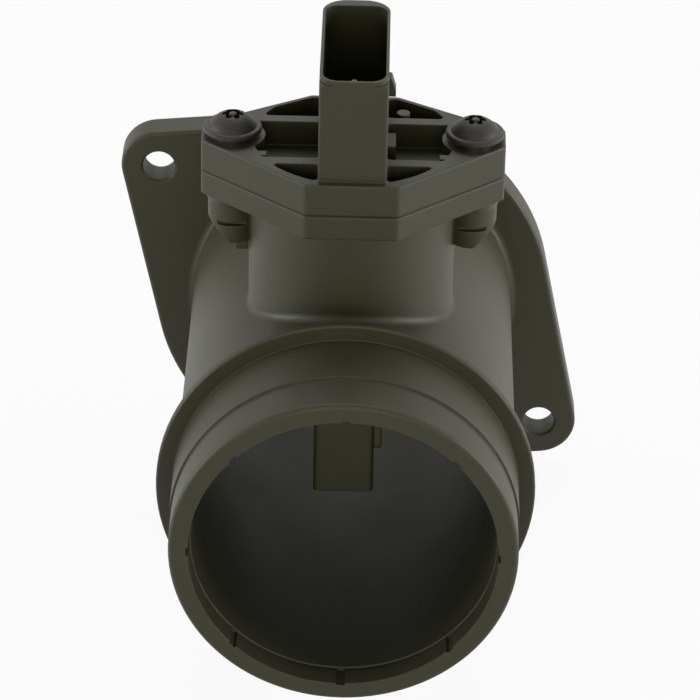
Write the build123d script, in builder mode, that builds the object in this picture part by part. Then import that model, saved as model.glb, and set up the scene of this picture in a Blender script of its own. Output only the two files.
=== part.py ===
from build123d import *

import os
from math import cos, radians, sin

# Mass airflow sensor: a moulded duct with a hose spigot at one end and a two-lobed flange at the
# other, and a plug-in sensor bolted onto its neck.
# Millimetres. The duct runs along Y with its axis at X = 0, Z = 0. The origin is where that axis
# meets the flange's mounting face, +Y points into the air box and +Z up through the connector.

os.makedirs("parts", exist_ok=True)

# slack allowed when an edge or corner is picked by its place
pick_tolerance = 0.01

# ---------------------------------------------------------------- driving dimensions

# duct tube and hose spigot
duct_length = 111.0
tube_dia = 70.0
tube_wall = 4.3
mouth_wall = 4.0
mouth_depth = 5.4
lip_length = 10.5
lip_round = 1.0
hose_seat_rise = 0.4
hose_seat_length = 13.9
bead_height = 3.8
bead_thickness = 2.2
bead_round = 0.5
mouth_notch_count = 8
mouth_notch_width = 1.8
mouth_notch_height = 0.45

# mounting flange
flange_thickness = 6.7
flange_edge_round = 0.8
flange_root_round = 1.5
flange_rim = 5.4
bolt_reach = 9.5
bolt_angle = 143.7
bolt_hole_dia = 7.0
lobe_wall = 4.7
bolt_hole_chamfer = 0.4

# inlet side of the flange
screen_seat_width = 2.3
screen_seat_depth = 5.0
seal_offset = 5.0
seal_width = 3.0
seal_proud = 0.8
seal_groove_depth = 2.2
seal_clearance = 0.1
seal_crown_chamfer = 0.9

# neck on top of the duct
neck_gap = 6.3
neck_dia = 42.2
neck_wall = 4.1
neck_root_round = 1.6
neck_height = 23.9
neck_flange_thickness = 5.1

# six-sided outline shared by the neck flange and the head plate, measured from the neck axis
hex_front_step = 0.2
hex_front_flat = 2.35
hex_end_margin = 6.3
hex_end_front = 2.8
hex_end_rear = 5.0
hex_rear_flat = 2.15
hex_rear_step = 2.7
hex_round = 1.6
parting_chamfer = 0.35

# screws, inserts and sleeves
screw_reach = 3.4
screw_thread_dia = 5.0
screw_length = 16.0
screw_flange_dia = 11.8
screw_flange_thickness = 1.2
screw_head_dia = 9.8
screw_head_height = 2.8
screw_socket_dia = 4.4
screw_socket_depth = 2.0
screw_pin_dia = 1.7
screw_lobe_dia = 1.3
screw_flange_chamfer = 0.3
screw_tip_chamfer = 0.6
insert_dia = 6.6
insert_length = 9.0
insert_groove_depth = 0.3
insert_groove_width = 1.2
sleeve_dia = 7.2
sleeve_bore_dia = 5.4
sleeve_proud = 0.95
boss_dia = 10.0
boss_depth = 10.3
boss_flare_dia = 12.4
boss_flare_height = 2.2
boss_bevel_height = 4.5
boss_bevel_width = 4.6
boss_web_width = 7.0
boss_foot_width = 2.4
boss_foot_length = 4.0
boss_foot_height = 3.0
boss_foot_inset = 2.0
boss_pilot_depth = 3.0
boss_slot_width = 5.6
boss_slot_height = 0.9
boss_slot_depth = 1.3
boss_slot_drop = 6.1

# head plate
plate_thickness = 7.0
plate_rim = 1.2
plate_edge_round = 0.4
pocket_depth = 5.4
pocket_wall = 0.6
pocket_round = 0.8
screw_pad_margin = 0.7
rib_thickness = 2.6
rear_rib_offset = 7.4
front_rib_offset = 10.9
stop_block_width = 1.7
stop_block_length = 6.0
stop_block_drop = 0.5
pad_radius = 1.35
pad_gap = 1.15
pad_reach = 3.15
end_pad_width = 3.0
end_pad_length = 2.0
end_pad_inset = 2.2
end_pad_gap = 1.6

# connector tower
tower_width = 13.7
tower_height = 22.2
tower_front_step = 1.5
tower_rear_step = 0.9
tower_front_round = 0.6
shroud_front_round = 3.8
shroud_rear_round = 5.2
shroud_rim_height = 0.9
shroud_wall = 0.6
shroud_rear_wall = 2.6
socket_rear_round = 2.6
socket_depth = 20.5
key_width = 1.0
key_depth = 0.7
latch_width = 3.0
latch_offset = 1.5
latch_shoulder = 0.6
latch_proud = 1.45
latch_height = 4.0
latch_ramp = 2.8
latch_ramp_round = 0.5
latch_drop = 7.4

# contact pins
pin_count = 5
pin_end_margin = 1.6
pin_row_offset = 0.6
pin_width = 2.8
pin_thickness = 0.8
pin_tip_drop = 14.0
pin_tip_length = 1.6
pin_tip_width = 1.4
pin_tip_thickness = 0.4
pin_tail_length = 3.6

# plug collar with its sealing ring
collar_clearance = 0.15
collar_length = 8.9
seal_ring_section = 2.6
seal_ring_drop = 4.6
seal_ring_chamfer = 0.7

# probe that reaches into the duct
probe_margin = 3.0
probe_left = 6.9
probe_right = 5.6
probe_bottom = 10.2
probe_edge_round = 1.0
probe_floor = 3.8
probe_wall = 1.6
chamber_top_drop = 4.0
chamber_bottom = 15.5
shelf_height = 3.6
shelf_seat = 0.4

# bypass channel inside the probe
channel_bottom = 8.6
channel_top = 13.0
channel_floor = 2.2
channel_round = 3.0
divider_thickness = 2.2
divider_base = 0.7
divider_reach = 17.0
inlet_height = 6.2
outlet_length = 7.0
outlet_height = 6.0

# covers on the probe
cover_thickness = 1.6
cover_bottom = -0.1
cover_top_clearance = 1.6
cover_overlap = 0.6
cover_rim_height = 0.9
cover_rim_width = 1.0
cover_clearance = 0.1
cover_edge_round = 0.4
bypass_cover_thickness = 1.0

# electronics
base_plate_thickness = 1.2
base_plate_rear = 5.6
base_plate_margin = 0.4
board_thickness = 0.8
board_margin = 0.8
carrier_thickness = 1.0
carrier_width = 7.0
carrier_reach = 7.5
carrier_overlap = 4.5
chip_width = 2.4
chip_height = 5.6
chip_thickness = 0.4
chip_margin = 1.0

# intake air temperature sensor in the side of the probe
temp_pocket_width = 5.0
temp_pocket_height = 15.0
temp_pocket_depth = 1.3
temp_pocket_base = 20.0
temp_pocket_offset = 8.9
temp_bead_dia = 1.8
temp_bead_length = 3.4
temp_bead_rise = 4.0
temp_bead_round = 0.6
temp_lead_dia = 0.5
temp_lead_gap = 0.9
temp_lead_rise = 13.0
temp_lead_tail = 0.6

# inlet screen and its retaining ring
screen_frame_thickness = 1.4
screen_frame_width = 1.8
screen_bar = 0.8
screen_pitch = 6.1
screen_clearance = 0.1
ring_thickness = 1.4
ring_width = 1.9
ring_groove_depth = 0.5
ring_gap_angle = 24.0

# ---------------------------------------------------------------- derived places

bore_dia = tube_dia - 2 * tube_wall
mouth_dia = tube_dia - 2 * mouth_wall
hose_seat_dia = tube_dia + 2 * hose_seat_rise
bead_dia = tube_dia + 2 * bead_height
screen_seat_dia = bore_dia + 2 * screen_seat_width
seal_mean_dia = screen_seat_dia + 2 * seal_offset
flange_disc_dia = seal_mean_dia + 2 * flange_rim
bolt_circle_dia = flange_disc_dia + 2 * bolt_reach
lobe_radius = bolt_hole_dia / 2 + lobe_wall
mouth_y = -duct_length
bead_y = mouth_y + lip_length + hose_seat_length
neck_y = bead_y + bead_thickness + neck_gap + neck_dia / 2
neck_bore_dia = neck_dia - 2 * neck_wall
seat_height = tube_dia / 2 + neck_height
plate_top = seat_height + plate_thickness
neck_flange_base = seat_height - neck_flange_thickness
tower_top = plate_top + tower_height
screw_x = neck_dia / 2 + screw_reach
screw_pad_dia = screw_flange_dia + 2 * screw_pad_margin
hex_front = neck_dia / 2 + hex_front_step
hex_rear = neck_dia / 2 - hex_rear_step
hex_front_corner = tower_width / 2 + hex_front_flat
hex_rear_corner = tower_width / 2 + hex_rear_flat
hex_end = screw_x + hex_end_margin
tower_front = hex_front - tower_front_step
tower_rear = hex_rear - tower_rear_step
tower_length = tower_front + tower_rear
tower_centre = (tower_rear - tower_front) / 2
collar_radius = neck_bore_dia / 2 - collar_clearance
collar_base = seat_height - collar_length
chamber_top = collar_base - chamber_top_drop
cover_top = collar_base - cover_top_clearance
shelf_base = chamber_top - shelf_height
sleeve_length = plate_thickness + sleeve_proud
head_base = plate_top + sleeve_proud
ring_front = -screen_seat_depth + screen_frame_thickness
ring_radius = screen_seat_dia / 2 + ring_groove_depth
probe_length = neck_bore_dia - 2 * probe_margin
chamber_length = probe_length - 2 * probe_wall
pin_pitch = (chamber_length - 2 * pin_end_margin - pin_width) / (pin_count - 1)
chamber_floor_x = probe_floor - probe_left
channel_floor_x = channel_floor - probe_left
bypass_cover_x = probe_right - bypass_cover_thickness
carrier_x = chamber_floor_x + base_plate_thickness + carrier_thickness / 2
temp_bead_z = temp_pocket_base + temp_bead_rise
temp_lead_z = temp_pocket_base + temp_lead_rise

bolt_x = bolt_circle_dia / 2 * cos(radians(bolt_angle))
bolt_z = bolt_circle_dia / 2 * sin(radians(bolt_angle))
bolt_places = [(bolt_x, bolt_z), (-bolt_x, -bolt_z)]


def level(height):
    """Horizontal plane at a height, centred on the neck axis, with Y along the duct."""
    return Plane(origin=(0, neck_y, height), x_dir=(1, 0, 0), z_dir=(0, 0, 1))


def side_plane(x):
    """Plane facing +X, centred on the neck axis: first axis along the duct, second axis up."""
    return Plane(origin=(x, neck_y, 0), x_dir=(0, 1, 0), z_dir=(1, 0, 0))


# six long sides and two short ends, from the front left corner round
hex_points = [
    (-hex_front_corner, -hex_front),
    (hex_front_corner, -hex_front),
    (hex_end, -hex_end_front),
    (hex_end, hex_end_rear),
    (hex_rear_corner, hex_rear),
    (-hex_rear_corner, hex_rear),
    (-hex_end, hex_end_rear),
    (-hex_end, -hex_end_front),
]


def rounded_at(sketch, select, radius):
    """Fillet the corners of a sketch that the select function picks."""
    fillet([corner for corner in sketch.vertices() if select(corner)], radius)


# ---------------------------------------------------------------- duct housing

with BuildPart() as boss:
    # two round bosses under the flange ends, flared at the top and webbed to the neck
    for side in (-1, 1):
        with BuildSketch(level(neck_flange_base)):
            with Locations((side * screw_x, 0)):
                Circle(boss_flare_dia / 2)
        with BuildSketch(level(neck_flange_base - boss_flare_height)):
            with Locations((side * screw_x, 0)):
                Circle(boss_dia / 2)
        loft()
    with BuildSketch(level(neck_flange_base)):
        with Locations((-screw_x, 0), (screw_x, 0)):
            Circle(boss_dia / 2)
        Rectangle(2 * screw_x, boss_web_width)
    extrude(amount=-boss_depth)
    # the outer lower corners are bevelled off
    boss_end = screw_x + boss_dia / 2
    with BuildSketch(Plane(origin=(0, neck_y, neck_flange_base), x_dir=(1, 0, 0), z_dir=(0, -1, 0))):
        for side in (-1, 1):
            with BuildLine():
                Polyline(
                    (side * boss_end, boss_bevel_height - boss_depth),
                    (side * (boss_end - boss_bevel_width), -boss_depth),
                    (side * boss_end, -boss_depth),
                    close=True,
                )
            make_face()
    extrude(amount=boss_dia, both=True, mode=Mode.SUBTRACT)
    # small foot under the left boss
    with BuildSketch(level(neck_flange_base - boss_depth)):
        with Locations((boss_foot_inset - screw_x, 0)):
            Rectangle(boss_foot_width, boss_foot_length)
    extrude(amount=-boss_foot_height)

with BuildPart() as neck_flange:
    # six-sided flange at the top of the neck, bevelled along its parting edge
    with BuildSketch(level(seat_height)) as neck_flange_outline:
        Polygon(*hex_points, align=None)
        fillet(neck_flange_outline.vertices(), hex_round)
    extrude(amount=-neck_flange_thickness)
    chamfer(neck_flange.faces().sort_by(Axis.Z)[-1].outer_wire().edges(), parting_chamfer)

with BuildPart() as duct_housing:
    # outside of the tube, spigot and bead
    with BuildSketch(Plane.YZ) as barrel:
        with BuildLine():
            Polyline(
                (mouth_y, 0),
                (mouth_y, tube_dia / 2),
                (mouth_y + lip_length, tube_dia / 2),
                (mouth_y + lip_length, hose_seat_dia / 2),
                (bead_y, hose_seat_dia / 2),
                (bead_y, bead_dia / 2),
                (bead_y + bead_thickness, bead_dia / 2),
                (bead_y + bead_thickness, tube_dia / 2),
                (0, tube_dia / 2),
                (0, 0),
                close=True,
            )
        make_face()
        rounded_at(barrel, lambda corner: corner.Y > bead_dia / 2 - pick_tolerance, bead_round)
        rounded_at(
            barrel,
            lambda corner: abs(corner.X - mouth_y) < pick_tolerance
            and corner.Y > tube_dia / 2 - pick_tolerance,
            lip_round,
        )
    revolve(axis=Axis.Y)

    # round neck with a soft root on the tube
    with BuildSketch(level(0)):
        Circle(neck_dia / 2)
    extrude(amount=neck_flange_base)
    neck_root = [
        edge
        for edge in duct_housing.edges()
        if edge.geom_type not in (GeomType.LINE, GeomType.CIRCLE) and edge.center().Z > 0
    ]
    fillet(neck_root, neck_root_round)

    # two-lobed mounting flange
    with BuildSketch(Plane.XZ):
        Circle(flange_disc_dia / 2)
        with Locations(*bolt_places):
            Circle(lobe_radius)
        make_hull()
    extrude(amount=flange_thickness)
    flange_front = duct_housing.faces().filter_by(
        lambda face: abs(face.center().Y + flange_thickness) < pick_tolerance
        and abs(face.normal_at().Y) > 1 - pick_tolerance
    )
    tube_circle = flange_front.edges().filter_by(GeomType.CIRCLE).filter_by(
        lambda edge: abs(edge.radius - tube_dia / 2) < pick_tolerance
    )
    outline_edges = [edge for edge in flange_front.edges() if edge not in tube_circle]
    fillet(outline_edges, flange_edge_round)
    flange_root = duct_housing.edges().filter_by(GeomType.CIRCLE).filter_by(
        lambda edge: abs(edge.radius - tube_dia / 2) < pick_tolerance
        and abs(edge.center().Y + flange_thickness) < pick_tolerance
    )
    fillet(flange_root, flange_root_round)

    add(neck_flange.part)
    add(boss.part)

    # air passage: mouth, bore and screen seat
    with BuildSketch(Plane.YZ):
        with BuildLine():
            Polyline(
                (mouth_y, 0),
                (mouth_y, mouth_dia / 2),
                (mouth_y + mouth_depth, mouth_dia / 2),
                (mouth_y + mouth_depth, bore_dia / 2),
                (-screen_seat_depth, bore_dia / 2),
                (-screen_seat_depth, screen_seat_dia / 2),
                (ring_front, screen_seat_dia / 2),
                (ring_front, ring_radius),
                (ring_front + ring_thickness, ring_radius),
                (ring_front + ring_thickness, screen_seat_dia / 2),
                (0, screen_seat_dia / 2),
                (0, 0),
                close=True,
            )
        make_face()
    revolve(axis=Axis.Y, mode=Mode.SUBTRACT)

    # notches round the inside of the mouth
    with BuildSketch(Plane.XZ.offset(duct_length)):
        with PolarLocations(mouth_dia / 2, mouth_notch_count):
            Rectangle(2 * mouth_notch_height, mouth_notch_width)
    extrude(amount=-mouth_depth, mode=Mode.SUBTRACT)

    # neck bore, insert holes with their pilots, and the cored slots in the bosses
    with BuildSketch(level(seat_height)):
        Circle(neck_bore_dia / 2)
    extrude(amount=-seat_height, mode=Mode.SUBTRACT)
    with BuildSketch(level(seat_height)):
        with Locations((-screw_x, 0), (screw_x, 0)):
            Circle(insert_dia / 2)
    extrude(amount=-insert_length, mode=Mode.SUBTRACT)
    with BuildSketch(level(seat_height - insert_length)):
        with Locations((-screw_x, 0), (screw_x, 0)):
            Circle(sleeve_bore_dia / 2)
    extrude(amount=-boss_pilot_depth, mode=Mode.SUBTRACT)
    slot_front = Plane(
        origin=(0, neck_y - boss_dia / 2, neck_flange_base - boss_slot_drop),
        x_dir=(1, 0, 0),
        z_dir=(0, -1, 0),
    )
    with BuildSketch(slot_front):
        with Locations((-screw_x, 0), (screw_x, 0)):
            Rectangle(boss_slot_width, boss_slot_height)
    extrude(amount=-boss_slot_depth, mode=Mode.SUBTRACT)

    # flange bolt holes, eased at the front, and the seal groove round the inlet
    with BuildSketch(Plane.XZ):
        with Locations(*bolt_places):
            Circle(bolt_hole_dia / 2)
    extrude(amount=flange_thickness, mode=Mode.SUBTRACT)
    hole_rims = duct_housing.edges().filter_by(GeomType.CIRCLE).filter_by(
        lambda edge: abs(edge.radius - bolt_hole_dia / 2) < pick_tolerance
        and abs(edge.center().Y + flange_thickness) < pick_tolerance
    )
    chamfer(hole_rims, bolt_hole_chamfer)
    with BuildSketch(Plane.XZ):
        Circle(seal_mean_dia / 2 + seal_width / 2 + seal_clearance)
        Circle(seal_mean_dia / 2 - seal_width / 2 - seal_clearance, mode=Mode.SUBTRACT)
    extrude(amount=seal_groove_depth, mode=Mode.SUBTRACT)

duct_housing.part.label = "duct_housing"
export_step(duct_housing.part, "parts/duct_housing.step")

# ---------------------------------------------------------------- sensor body

with BuildPart() as collar_and_probe:
    # round collar that plugs into the neck, grooved for its sealing ring
    with BuildSketch(level(seat_height)):
        Circle(collar_radius)
    extrude(amount=-collar_length)
    with BuildSketch(level(seat_height - seal_ring_drop)):
        Circle(collar_radius)
        Circle(neck_bore_dia / 2 - seal_ring_section, mode=Mode.SUBTRACT)
    extrude(amount=seal_ring_section / 2, both=True, mode=Mode.SUBTRACT)

    # probe with rounded long edges
    with BuildSketch(level(collar_base)):
        with Locations(((probe_right - probe_left) / 2, 0)):
            RectangleRounded(probe_left + probe_right, probe_length, probe_edge_round)
    extrude(amount=-collar_base - probe_bottom)

    # electronics chamber, open towards +X, with a shelf for the pin tails at its top
    with BuildSketch(side_plane(probe_right)):
        with Locations((0, (chamber_top + chamber_bottom) / 2)):
            RectangleRounded(chamber_length, chamber_top - chamber_bottom, probe_edge_round)
    extrude(amount=-probe_right + chamber_floor_x, mode=Mode.SUBTRACT)
    with BuildSketch(side_plane(chamber_floor_x)):
        with Locations((0, chamber_top - shelf_height / 2)):
            Rectangle(chamber_length, shelf_height)
    extrude(amount=-chamber_floor_x - shelf_seat)

    # bypass channel: in low at the inlet side, round the divider and back above it
    with BuildSketch(side_plane(probe_right)):
        with Locations((0, (channel_top - channel_bottom) / 2)):
            RectangleRounded(chamber_length, channel_top + channel_bottom, channel_round)
        with Locations((probe_length / 2 - probe_wall, divider_base)):
            SlotCenterToCenter(2 * divider_reach, divider_thickness, mode=Mode.SUBTRACT)
    extrude(amount=-probe_right + channel_floor_x, mode=Mode.SUBTRACT)

    # inlet window in the upstream edge
    lower_pass_top = divider_base - divider_thickness / 2
    inlet_centre = (lower_pass_top - channel_bottom) / 2
    inlet_face = Plane(origin=(0, neck_y + probe_length / 2, 0), x_dir=(1, 0, 0), z_dir=(0, -1, 0))
    with BuildSketch(inlet_face):
        with Locations(((channel_floor_x + bypass_cover_x) / 2, inlet_centre)):
            Rectangle(bypass_cover_x - channel_floor_x, inlet_height)
    extrude(amount=2 * probe_wall, mode=Mode.SUBTRACT)

    # outlet window through the back of the probe, above the divider
    upper_pass_base = divider_base + divider_thickness / 2
    upper_pass_centre = (channel_top + upper_pass_base) / 2
    outlet_y = probe_length / 2 - probe_wall - outlet_length
    with BuildSketch(side_plane(channel_floor_x)):
        with Locations((outlet_y, upper_pass_centre)):
            Rectangle(outlet_length, outlet_height)
    extrude(amount=-channel_floor, mode=Mode.SUBTRACT)

    # rebate that takes the bypass cover flush
    with BuildSketch(side_plane(probe_right)):
        with Locations((0, (cover_bottom - channel_bottom - cover_overlap) / 2)):
            RectangleRounded(
                chamber_length + 2 * cover_overlap,
                cover_bottom + channel_bottom + cover_overlap,
                probe_edge_round / 2,
            )
    extrude(amount=-bypass_cover_thickness, mode=Mode.SUBTRACT)

    # slit between chamber and channel for the element carrier
    with BuildSketch(level(chamber_bottom)):
        with Locations((carrier_x, 0)):
            Rectangle(carrier_thickness, carrier_width)
    extrude(amount=channel_top - chamber_bottom, mode=Mode.SUBTRACT)

    # pocket for the air temperature sensor in the -X face, with two lead holes
    with BuildSketch(side_plane(-probe_left)):
        with Locations((temp_pocket_offset, temp_pocket_base + temp_pocket_height / 2)):
            RectangleRounded(temp_pocket_width, temp_pocket_height, probe_edge_round)
    extrude(amount=temp_pocket_depth, mode=Mode.SUBTRACT)

with BuildPart() as sensor_body:
    # six-sided head plate
    with BuildSketch(level(seat_height)) as plate_outline:
        Polygon(*hex_points, align=None)
        fillet(plate_outline.vertices(), hex_round)
    extrude(amount=plate_thickness)
    chamfer(sensor_body.faces().sort_by(Axis.Z)[0].outer_wire().edges(), parting_chamfer)
    fillet(sensor_body.faces().sort_by(Axis.Z)[-1].outer_wire().edges(), plate_edge_round)

    # pockets between rim, ribs and screw pads
    with BuildSketch(level(plate_top)):
        Polygon(*hex_points, align=None)
        offset(amount=-plate_rim, kind=Kind.INTERSECTION)
        Circle(neck_dia / 2 - pocket_wall, mode=Mode.INTERSECT)
        with Locations((-screw_x, 0), (screw_x, 0)):
            Circle(screw_pad_dia / 2, mode=Mode.SUBTRACT)
        with Locations((0, rear_rib_offset), (0, -front_rib_offset)):
            Rectangle(2 * hex_end, rib_thickness, mode=Mode.SUBTRACT)
        with Locations((0, tower_centre)):
            Rectangle(tower_width, 2 * hex_front, mode=Mode.SUBTRACT)
        # in and out again: rounds the corners and drops any sliver narrower than the cutter
        offset(amount=-pocket_round, kind=Kind.INTERSECTION)
        offset(amount=pocket_round, kind=Kind.ARC)
    extrude(amount=-pocket_depth, mode=Mode.SUBTRACT)

    # stop block beside the tower and small pads at the ends of the middle pockets
    pocket_floor = plate_top - pocket_depth
    end_pad_x = neck_dia / 2 - end_pad_inset
    end_pad_y = end_pad_gap + rib_thickness / 2 + end_pad_length / 2 - front_rib_offset
    with BuildSketch(level(pocket_floor)):
        with Locations(((tower_width + stop_block_width) / 2, 0)):
            Rectangle(stop_block_width, stop_block_length)
        with Locations((-end_pad_x, end_pad_y), (end_pad_x, end_pad_y)):
            Rectangle(end_pad_width, end_pad_length)
    extrude(amount=pocket_depth - stop_block_drop)

    # round ejector pad behind the rear rib, as high as the plate
    with BuildSketch(level(pocket_floor)):
        with Locations(
            (tower_width / 2 + pad_reach, rear_rib_offset + rib_thickness / 2 + pad_gap + pad_radius)
        ):
            Circle(pad_radius)
    extrude(amount=pocket_depth)

    # connector tower: square front corners up to just below the rounded shroud rim
    with BuildSketch(level(seat_height)) as tower_block:
        with Locations((0, tower_centre)):
            Rectangle(tower_width, tower_length)
        rounded_at(tower_block, lambda corner: corner.Y > 0, shroud_rear_round)
        rounded_at(tower_block, lambda corner: corner.Y < pick_tolerance - tower_front, tower_front_round)
    extrude(amount=plate_thickness + tower_height - shroud_rim_height)
    with BuildSketch(level(tower_top)) as shroud_rim:
        with Locations((0, tower_centre)):
            Rectangle(tower_width, tower_length)
        rounded_at(shroud_rim, lambda corner: corner.Y > 0, shroud_rear_round)
        rounded_at(shroud_rim, lambda corner: corner.Y < pick_tolerance - tower_front, shroud_front_round)
    extrude(amount=-shroud_rim_height)

    # latch nose on the long side: a ramp that the plug's latch slides over, square below
    latch_top = tower_top - latch_drop
    latch_foot = latch_top - latch_height
    with BuildSketch(
        Plane(origin=(0, neck_y - latch_offset, 0), x_dir=(1, 0, 0), z_dir=(0, -1, 0))
    ) as latch_nose:
        with BuildLine():
            Polyline(
                (tower_width / 2 - shroud_wall, latch_foot),
                (tower_width / 2 + latch_proud, latch_foot),
                (tower_width / 2 + latch_proud, latch_top - latch_ramp),
                (tower_width / 2 + latch_shoulder, latch_top),
                (tower_width / 2 - shroud_wall, latch_top),
                close=True,
            )
        make_face()
        rounded_at(
            latch_nose,
            lambda corner: corner.X > tower_width / 2 + pick_tolerance
            and corner.Y > latch_foot + pick_tolerance,
            latch_ramp_round,
        )
    extrude(amount=latch_width / 2, both=True)

    # socket with a coding key on its front wall
    socket_length = tower_length - shroud_wall - shroud_rear_wall
    socket_centre = tower_centre + (shroud_wall - shroud_rear_wall) / 2
    with BuildSketch(level(tower_top)) as socket:
        with Locations((0, socket_centre)):
            Rectangle(tower_width - 2 * shroud_wall, socket_length)
        rounded_at(socket, lambda corner: corner.Y > 0, socket_rear_round)
        rounded_at(socket, lambda corner: corner.Y < -socket_length / 4, shroud_front_round - shroud_wall)
        with Locations((0, socket_centre - socket_length / 2 + key_depth / 2)):
            Rectangle(key_width, key_depth, mode=Mode.SUBTRACT)
    extrude(amount=-socket_depth, mode=Mode.SUBTRACT)

    add(collar_and_probe.part)

    # holes for the compression sleeves
    with BuildSketch(level(plate_top)):
        with Locations((-screw_x, 0), (screw_x, 0)):
            Circle(sleeve_dia / 2)
    extrude(amount=-plate_thickness, mode=Mode.SUBTRACT)

    # passages of the moulded-in pins
    socket_floor = tower_top - socket_depth
    pin_places = [
        (0, (index - (pin_count - 1) / 2) * pin_pitch - pin_row_offset) for index in range(pin_count)
    ]
    with BuildSketch(level(socket_floor)):
        with Locations(*pin_places):
            Rectangle(pin_thickness, pin_width)
    extrude(amount=chamber_top - socket_floor, mode=Mode.SUBTRACT)

    # lead holes of the air temperature sensor
    with BuildSketch(side_plane(-probe_left)):
        with Locations(
            (temp_pocket_offset - temp_lead_gap / 2, temp_lead_z),
            (temp_pocket_offset + temp_lead_gap / 2, temp_lead_z),
        ):
            Circle(temp_lead_dia / 2)
    extrude(amount=probe_floor, mode=Mode.SUBTRACT)

sensor_body.part.label = "sensor_body"
export_step(sensor_body.part, "parts/sensor_body.step")

# ---------------------------------------------------------------- sealing ring on the collar

with BuildPart() as sensor_seal_ring:
    # moulded profile ring, its four edges bevelled
    with BuildSketch(Plane(origin=(0, neck_y, 0), x_dir=(1, 0, 0), z_dir=(0, -1, 0))) as ring_section:
        with Locations((neck_bore_dia / 2 - seal_ring_section / 2, seat_height - seal_ring_drop)):
            Rectangle(seal_ring_section, seal_ring_section)
        chamfer(ring_section.vertices(), seal_ring_chamfer)
    revolve(axis=Axis((0, neck_y, 0), (0, 0, 1)))

sensor_seal_ring.part.label = "sensor_seal_ring"
export_step(sensor_seal_ring.part, "parts/sensor_seal_ring.step")

# ---------------------------------------------------------------- screws, sleeves and inserts

for side_name, side_x in (("left", -screw_x), ("right", screw_x)):
    screw_axis = Axis((side_x, neck_y, 0), (0, 0, 1))
    profile_plane = Plane(origin=(side_x, neck_y, 0), x_dir=(1, 0, 0), z_dir=(0, -1, 0))
    dome_radius = ((screw_head_dia / 2) ** 2 + screw_head_height**2) / (2 * screw_head_height)

    with BuildPart() as sleeve:
        with BuildSketch(Plane(origin=(side_x, neck_y, seat_height))):
            Circle(sleeve_dia / 2)
            Circle(sleeve_bore_dia / 2, mode=Mode.SUBTRACT)
        extrude(amount=sleeve_length)
    sleeve.part.label = f"sleeve_{side_name}"
    export_step(sleeve.part, f"parts/sleeve_{side_name}.step")

    with BuildPart() as insert:
        with BuildSketch(Plane(origin=(side_x, neck_y, seat_height))):
            Circle(insert_dia / 2)
        extrude(amount=-insert_length)
        # two grooves that the plastic flows into
        with BuildSketch(profile_plane):
            with Locations(
                (insert_dia / 2, seat_height - insert_length / 3),
                (insert_dia / 2, seat_height - 2 * insert_length / 3),
            ):
                Rectangle(2 * insert_groove_depth, insert_groove_width)
        revolve(axis=screw_axis, mode=Mode.SUBTRACT)
        with BuildSketch(Plane(origin=(side_x, neck_y, seat_height))):
            Circle(screw_thread_dia / 2)
        extrude(amount=-insert_length, mode=Mode.SUBTRACT)
    insert.part.label = f"insert_{side_name}"
    export_step(insert.part, f"parts/insert_{side_name}.step")

    with BuildPart() as screw:
        # round flange and shallow domed head
        with BuildSketch(Plane(origin=(side_x, neck_y, head_base))):
            Circle(screw_flange_dia / 2)
        extrude(amount=screw_flange_thickness)
        chamfer(screw.edges().filter_by(GeomType.CIRCLE), screw_flange_chamfer)
        dome_base = head_base + screw_flange_thickness
        dome_root = dome_base - screw_flange_chamfer
        with BuildSketch(profile_plane):
            with BuildLine():
                Line((0, dome_root), (0, dome_base + screw_head_height))
                RadiusArc(
                    (0, dome_base + screw_head_height),
                    (screw_head_dia / 2, dome_base),
                    dome_radius,
                )
                Line((screw_head_dia / 2, dome_base), (screw_head_dia / 2, dome_root))
                Line((screw_head_dia / 2, dome_root), (0, dome_root))
            make_face()
        revolve(axis=screw_axis)
        # six-lobed socket round a centre pin
        with BuildSketch(Plane(origin=(side_x, neck_y, dome_base + screw_head_height))):
            Circle(screw_socket_dia / 2 - screw_lobe_dia / 2)
            with PolarLocations(screw_socket_dia / 2 - screw_lobe_dia / 2, 6):
                Circle(screw_lobe_dia / 2)
            Circle(screw_pin_dia / 2, mode=Mode.SUBTRACT)
        extrude(amount=-screw_socket_depth, mode=Mode.SUBTRACT)
        # shank with an eased tip
        with BuildSketch(Plane(origin=(side_x, neck_y, head_base))):
            Circle(screw_thread_dia / 2)
        extrude(amount=-screw_length)
        chamfer(screw.faces().sort_by(Axis.Z)[0].edges(), screw_tip_chamfer)
    screw.part.label = f"screw_{side_name}"
    export_step(screw.part, f"parts/screw_{side_name}.step")

# ---------------------------------------------------------------- contact pins

for index, (pin_x, pin_y) in enumerate(pin_places, start=1):
    with BuildPart() as contact_pin:
        pin_top = tower_top - pin_tip_drop
        pin_base = chamber_top - pin_tail_length
        with BuildSketch(Plane(origin=(pin_x, neck_y + pin_y, pin_base))):
            Rectangle(pin_thickness, pin_width)
        extrude(amount=pin_top - pin_tip_length - pin_base)
        # tapered tip
        with BuildSketch(Plane(origin=(pin_x, neck_y + pin_y, pin_top - pin_tip_length))):
            Rectangle(pin_thickness, pin_width)
        with BuildSketch(Plane(origin=(pin_x, neck_y + pin_y, pin_top))):
            Rectangle(pin_tip_thickness, pin_tip_width)
        loft()
    contact_pin.part.label = f"contact_pin_{index}"
    export_step(contact_pin.part, f"parts/contact_pin_{index}.step")

# ---------------------------------------------------------------- electronics in the probe

with BuildPart() as base_plate:
    plate_front = -chamber_length / 2 + base_plate_margin
    with BuildSketch(side_plane(chamber_floor_x)):
        with Locations(((base_plate_rear + plate_front) / 2, (shelf_base + chamber_bottom) / 2)):
            RectangleRounded(
                base_plate_rear - plate_front,
                shelf_base - chamber_bottom - 2 * base_plate_margin,
                probe_edge_round,
            )
    extrude(amount=base_plate_thickness)

base_plate.part.label = "base_plate"
export_step(base_plate.part, "parts/base_plate.step")

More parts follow.
